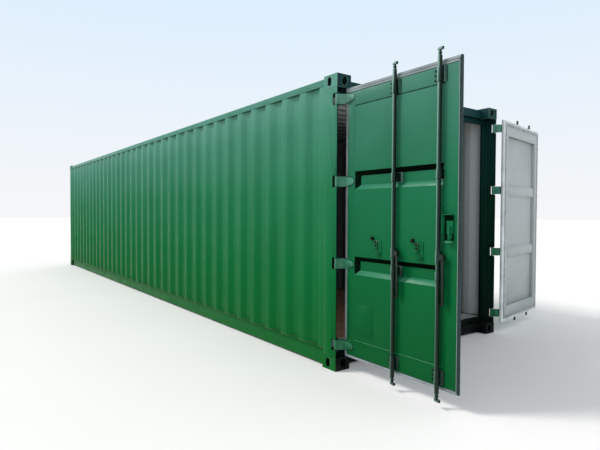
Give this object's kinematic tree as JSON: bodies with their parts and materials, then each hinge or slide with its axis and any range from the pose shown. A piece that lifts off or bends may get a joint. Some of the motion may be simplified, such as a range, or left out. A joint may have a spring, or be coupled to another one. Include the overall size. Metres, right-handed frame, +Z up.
{
  "type": "shipping container",
  "caption": "Long steel freight container with corrugated walls and roof, corner castings and a pair of hinged end doors with lock rods.",
  "frame": {"origin": "middle of the four bottom corner castings' outer faces, on the plane that they stand on", "axes": "+X along the container's length towards its doors, +Y to the right door's side, +Z up"},
  "size_m": [11.838, 3.6131, 2.591],
  "materials": {
    "green_paint": "satin paint, weathered",
    "dark_green_paint": "worn paint",
    "gear_paint": "satin paint on forged steel",
    "floor_plywood": "varnished, scuffed",
    "bare_steel": "worn",
    "door_rubber": "matt",
    "pin_steel": "satin",
    "underside_coating": "bituminous, matt",
    "plate_metal": "satin paint over a blank plate"
  },
  "bodies": {
    "container": {"bottom_corner_castings": "dark_green_paint", "top_corner_castings": "green_paint", "rear_corner_posts": "green_paint", "front_corner_posts": "green_paint", "top_side_rails": "green_paint", "bottom_side_rails": "green_paint", "door_header": "green_paint", "door_sill": "dark_green_paint", "front_top_rail": "green_paint", "front_bottom_rail": "green_paint", "left_side_wall": "green_paint", "right_side_wall": "green_paint", "front_wall": "green_paint", "roof_sheet": "green_paint", "roof_end_plate": "green_paint", "floor_boards": "floor_plywood", "cross_members": "underside_coating", "threshold_plate": "bare_steel", "header_cam_keepers": "gear_paint", "sill_cam_keepers": "dark_green_paint", "hinge_lugs": "green_paint", "hinge_pins": "pin_steel"},
    "left_door": {"left_door_frame": "green_paint", "left_door_panel": "green_paint", "left_door_gasket": "door_rubber", "left_hinge_blades": "gear_paint", "left_rod_brackets": "gear_paint", "left_handle_catches": "gear_paint", "left_blank_plate": "plate_metal", "left_lock_staple": "gear_paint"},
    "left_outer_rod": {"left_outer_lock_rod": "gear_paint"},
    "left_inner_rod": {"left_inner_lock_rod": "gear_paint"},
    "left_outer_handle_bar": {"left_outer_handle": "gear_paint"},
    "left_inner_handle_bar": {"left_inner_handle": "gear_paint"},
    "right_door": {"right_door_frame": "green_paint", "right_door_panel": "green_paint", "right_door_gasket": "door_rubber", "right_hinge_blades": "gear_paint", "right_rod_brackets": "gear_paint", "right_handle_catches": "gear_paint", "right_lock_rods": "gear_paint", "right_handles": "gear_paint"}
  },
  "joints": [
    {"name": "left_door_hinge", "type": "hinge", "parent": "container", "child": "left_door", "pos_m": [5.31, -1.199, 1.3], "axis": [0, 0, -1], "range_deg": [-90, 180]},
    {"name": "right_door_hinge", "type": "hinge", "parent": "container", "child": "right_door", "pos_m": [5.31, 1.199, 1.3], "axis": [0, 0, 1], "range_deg": [-190, 80]},
    {"name": "left_outer_rod_turn", "type": "hinge", "parent": "left_door", "child": "left_outer_rod", "pos_m": [5.936, -1.157, 1.3], "axis": [0, 0, 1], "range_deg": [-168, 12]},
    {"name": "left_inner_rod_turn", "type": "hinge", "parent": "left_door", "child": "left_inner_rod", "pos_m": [6.356, -1.157, 1.3], "axis": [0, 0, 1], "range_deg": [-168, 12]},
    {"name": "left_outer_handle_lift", "type": "hinge", "parent": "left_outer_rod", "child": "left_outer_handle_bar", "pos_m": [5.97904, -1.16615, 1.077], "axis": [0.2079, 0.9781, 0], "range_deg": [-90, 0]},
    {"name": "left_inner_handle_lift", "type": "hinge", "parent": "left_inner_rod", "child": "left_inner_handle_bar", "pos_m": [6.39904, -1.16615, 1.077], "axis": [0.2079, 0.9781, 0], "range_deg": [-90, 0]}
  ]
}
